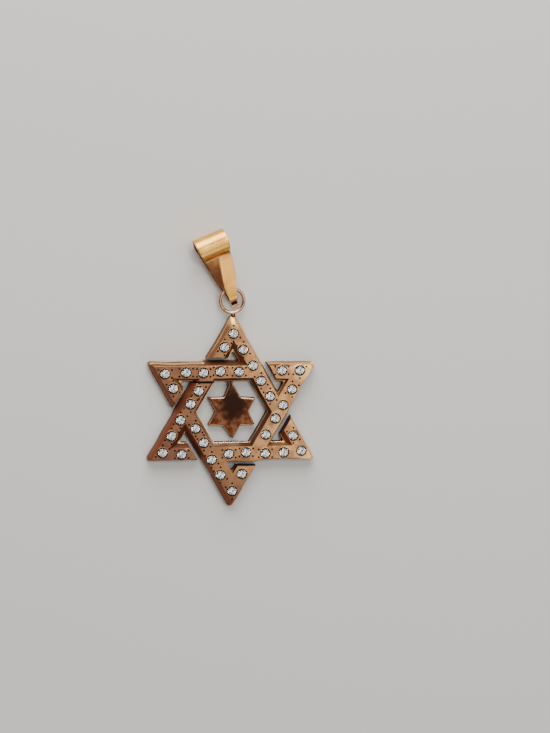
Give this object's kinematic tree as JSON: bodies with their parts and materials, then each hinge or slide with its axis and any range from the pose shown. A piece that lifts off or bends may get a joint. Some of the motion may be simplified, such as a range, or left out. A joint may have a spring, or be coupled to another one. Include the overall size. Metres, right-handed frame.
{
  "type": "star of david pendant",
  "caption": "Interlaced six-pointed star pendant with small brilliant stones set in its bars, a small solid star inside, a soldered ring and a tapered folded bail for a chain.",
  "frame": {"origin": "centre of the star on its flat back face", "axes": "+Y from the star towards the bail, +Z from the back up through the stones, +X to the wearer's left as seen from the front"},
  "size_m": [0.0224, 0.0374, 0.0031],
  "materials": {
    "star_metal": "satin, worn, with dark tarnish in the recesses",
    "bail_metal": "polished, lightly worn",
    "stone": "clear, brilliant cut"
  },
  "bodies": {
    "root": {"star_frame": "star_metal", "bail": "bail_metal", "stone_01": "stone", "stone_02": "stone", "stone_03": "stone", "stone_04": "stone", "stone_05": "stone", "stone_06": "stone", "stone_07": "stone", "stone_08": "stone", "stone_09": "stone", "stone_10": "stone", "stone_11": "stone", "stone_12": "stone", "stone_13": "stone", "stone_14": "stone", "stone_15": "stone", "stone_16": "stone", "stone_17": "stone", "stone_18": "stone", "stone_19": "stone", "stone_20": "stone", "stone_21": "stone", "stone_22": "stone", "stone_23": "stone", "stone_24": "stone", "stone_25": "stone", "stone_26": "stone", "stone_27": "stone", "stone_28": "stone", "stone_29": "stone", "stone_30": "stone", "stone_31": "stone", "stone_32": "stone", "stone_33": "stone", "stone_34": "stone", "stone_35": "stone", "stone_36": "stone"}
  },
  "joints": []
}
